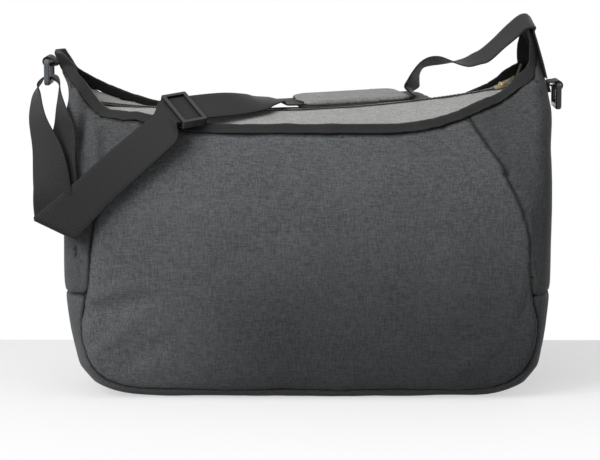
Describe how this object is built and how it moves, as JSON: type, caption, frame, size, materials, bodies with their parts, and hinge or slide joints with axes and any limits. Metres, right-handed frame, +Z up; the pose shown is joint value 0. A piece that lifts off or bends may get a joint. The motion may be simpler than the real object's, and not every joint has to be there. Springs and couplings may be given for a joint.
{
  "type": "messenger bag",
  "caption": "Soft zip-top messenger bag with an adjustable webbing shoulder strap, a sliding shoulder pad and side rings.",
  "frame": {"origin": "middle of the flat bottom, on the floor", "axes": "+X to the bag's right as seen from the front, -Y to the front, +Z up"},
  "size_m": [0.529, 0.1888, 0.3732],
  "materials": {
    "body_cloth": "heathered woven polyester",
    "base_cloth": "heathered woven polyester, darker",
    "binding_tape": "grosgrain binding, dark",
    "lining_cloth": "plain woven nylon lining",
    "board": "polyethylene board",
    "flap_cloth": "light grey heathered polyester",
    "zip_tape": "woven zipper tape",
    "zip_metal": "antique nickel finish",
    "slider_metal": "plated, satin",
    "webbing": "ribbed polyester webbing",
    "ring_plastic": "moulded acetal",
    "adjuster_plastic": "moulded acetal",
    "pad_cloth": "light grey heathered polyester over foam",
    "pad_backing": "rubberised mesh"
  },
  "bodies": {
    "bag": {"front_panel": "body_cloth", "back_panel": "body_cloth", "bottom_panel": "base_cloth", "right_gusset": "body_cloth", "left_gusset": "body_cloth", "front_binding": "binding_tape", "back_binding": "binding_tape", "lining": "lining_cloth", "base_board": "board", "laptop_divider": "lining_cloth", "organiser_pocket": "lining_cloth", "front_flap": "flap_cloth", "back_flap": "flap_cloth", "front_zip_tape": "zip_tape", "back_zip_tape": "zip_tape", "front_teeth": "zip_metal", "back_teeth": "zip_metal", "zip_stops": "zip_metal", "zip_end_tab": "zip_tape", "left_ring_tab": "webbing", "right_ring_tab": "webbing", "strap_right_run": "webbing", "strap_left_run": "webbing"},
    "zip_slider": {"zip_slider": "slider_metal"},
    "zip_pull": {"zip_pull": "slider_metal"},
    "left_ring": {"left_ring": "ring_plastic"},
    "right_ring": {"right_ring": "ring_plastic"},
    "strap_adjuster": {"strap_adjuster": "adjuster_plastic", "strap_end_loop": "webbing"},
    "shoulder_pad": {"pad_cushion": "pad_cloth", "pad_base": "pad_backing"}
  },
  "joints": [
    {"name": "zip_travel", "type": "hinge", "parent": "bag", "child": "zip_slider", "pos_m": [-0.06, 0, 1.658], "axis": [0, 1, 0], "range_deg": [0, 16], "deforming": ["front_teeth", "back_teeth"]},
    {"name": "pull_swing", "type": "hinge", "parent": "zip_slider", "child": "zip_pull", "pos_m": [0.18922, 0, 0.30506], "axis": [0, -1, 0], "range_deg": [0, 140]},
    {"name": "left_ring_swing", "type": "hinge", "parent": "bag", "child": "left_ring", "pos_m": [-0.259, 0, 0.3285], "axis": [0, 1, 0], "range_deg": [-8, 8]},
    {"name": "right_ring_swing", "type": "hinge", "parent": "bag", "child": "right_ring", "pos_m": [0.2446, 0, 0.305], "axis": [0, -1, 0], "range_deg": [0, 100]},
    {"name": "adjuster_slide", "type": "slide", "parent": "bag", "child": "strap_adjuster", "axis": [0.8472, 0.5199, 0.1091], "range_m": [0, 0.045]},
    {"name": "pad_slide", "type": "slide", "parent": "bag", "child": "shoulder_pad", "axis": [-0.9462, -0.3221, -0.03], "range_m": [0, 0.012]}
  ]
}
